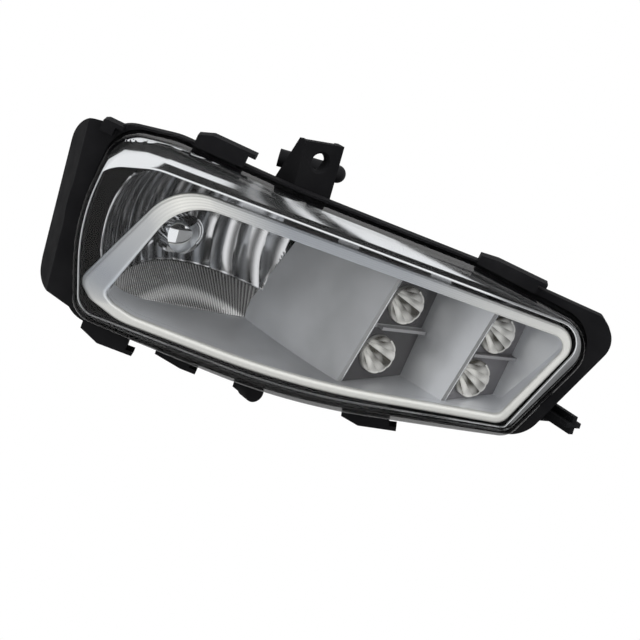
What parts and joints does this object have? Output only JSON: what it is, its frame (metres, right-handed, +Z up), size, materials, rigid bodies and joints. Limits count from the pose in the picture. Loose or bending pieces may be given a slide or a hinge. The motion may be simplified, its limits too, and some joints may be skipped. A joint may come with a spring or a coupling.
{
  "type": "daytime running light",
  "caption": "Car daytime running light with a domed clear cover, light guide frame, round LED optics, faceted fog reflector, black housing and fixing bracket",
  "frame": {"origin": "middle of the fixing bore in the upper bracket", "axes": "X along the lamp to its inboard end, Y back into the lamp from the cover, Z up"},
  "size_m": [0.3198, 0.1224, 0.1529],
  "materials": {
    "black_housing": "satin moulded black",
    "clear_cover": "clear hard-coated plastic",
    "bright_chrome": "bright metallised",
    "frosted_guide": "frosted translucent white",
    "satin_silver": "satin metallised grey",
    "dark_carrier": "dark grey",
    "clear_optic": "clear fluted",
    "reflector_silver": "vacuum metallised",
    "soft_black": "matt black",
    "seal_grey": "dull grey",
    "board_green": "green lacquer",
    "emitter_yellow": "yellow resin",
    "sink_aluminium": "plain extruded",
    "bulb_clear": "clear glass",
    "filament_steel": "drawn wire",
    "base_black": "moulded black",
    "contact_brass": "plated contact",
    "screw_steel": "zinc plated"
  },
  "bodies": {
    "root": {"housing": "black_housing", "outer_lens": "clear_cover", "chrome_bezel": "bright_chrome", "light_guide_frame": "frosted_guide", "inner_panel": "satin_silver", "led_carrier_1": "dark_carrier", "led_carrier_2": "dark_carrier", "led_lens_1": "clear_optic", "led_lens_2": "clear_optic", "led_lens_3": "clear_optic", "led_lens_4": "clear_optic", "fog_reflector": "reflector_silver", "bulb_shield": "bright_chrome", "vent_tube": "soft_black", "lens_seal": "seal_grey", "led_board_1": "board_green", "led_board_2": "board_green", "led_emitters": "emitter_yellow", "heat_sink_1": "sink_aluminium", "heat_sink_2": "sink_aluminium", "bulb_glass": "bulb_clear", "bulb_filament": "filament_steel", "bulb_base": "base_black", "bulb_seal": "soft_black", "bulb_terminals": "contact_brass", "connector_shell": "base_black", "connector_pins": "contact_brass", "panel_screws": "screw_steel"}
  },
  "joints": []
}
